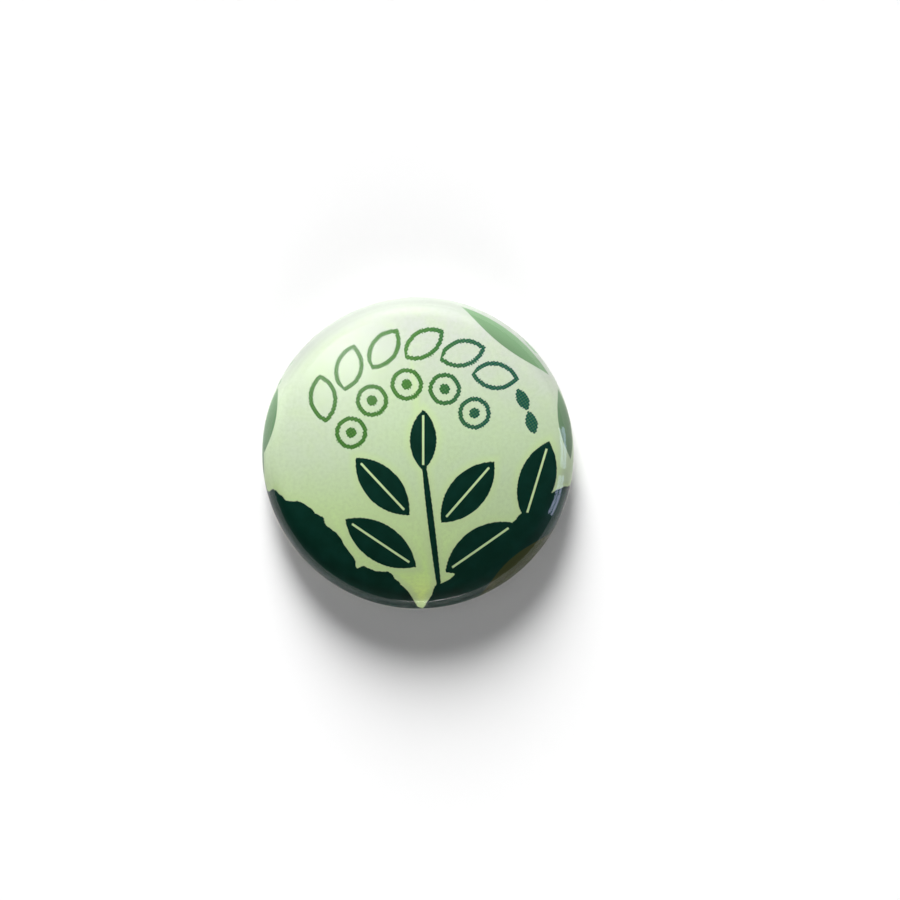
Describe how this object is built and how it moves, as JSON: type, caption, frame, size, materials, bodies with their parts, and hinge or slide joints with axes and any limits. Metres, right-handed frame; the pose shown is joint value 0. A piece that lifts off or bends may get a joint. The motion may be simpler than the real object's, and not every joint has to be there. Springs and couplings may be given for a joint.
{
  "type": "button badge",
  "caption": "Round domed pin-back button badge: printed paper under clear film over a crimped metal shell, with a spring wire needle and hooked clasp inside the curled back rim.",
  "frame": {"origin": "centre of the badge on the back plane, where the crest of the back plate's curled rim rests", "axes": "+Z from the back to the top of the printed dome, +Y towards the top of the artwork, +X to its right; the needle lies along X with its clasp on the -X side"},
  "size_m": [0.025, 0.025, 0.0048],
  "materials": {
    "clear_film": "clear glossy polyester film",
    "printed_paper": "printed in mint, yellow-green and dark green",
    "tinplate": "plain tinplate",
    "nickel_sheet": "bright rolled sheet, nickel coated",
    "nickel_wire": "bright nickel-plated spring wire"
  },
  "bodies": {
    "badge": {"clear_film": "clear_film", "printed_paper": "printed_paper", "front_shell": "tinplate", "back_plate": "nickel_sheet"},
    "pin_wire": {"spring_wire": "nickel_wire"},
    "needle": {"pin_needle": "nickel_wire"}
  },
  "joints": [
    {"name": "pin_wire_turn", "type": "hinge", "parent": "badge", "child": "pin_wire", "pos_m": [0, 0, 0.0016], "axis": [0, 0, -1], "continuous": true},
    {"name": "needle_release", "type": "hinge", "parent": "pin_wire", "child": "needle", "pos_m": [0.00993, 0.00035, 0.00128], "axis": [-0.9063, 0, -0.4226], "range_deg": [0, 150]}
  ]
}
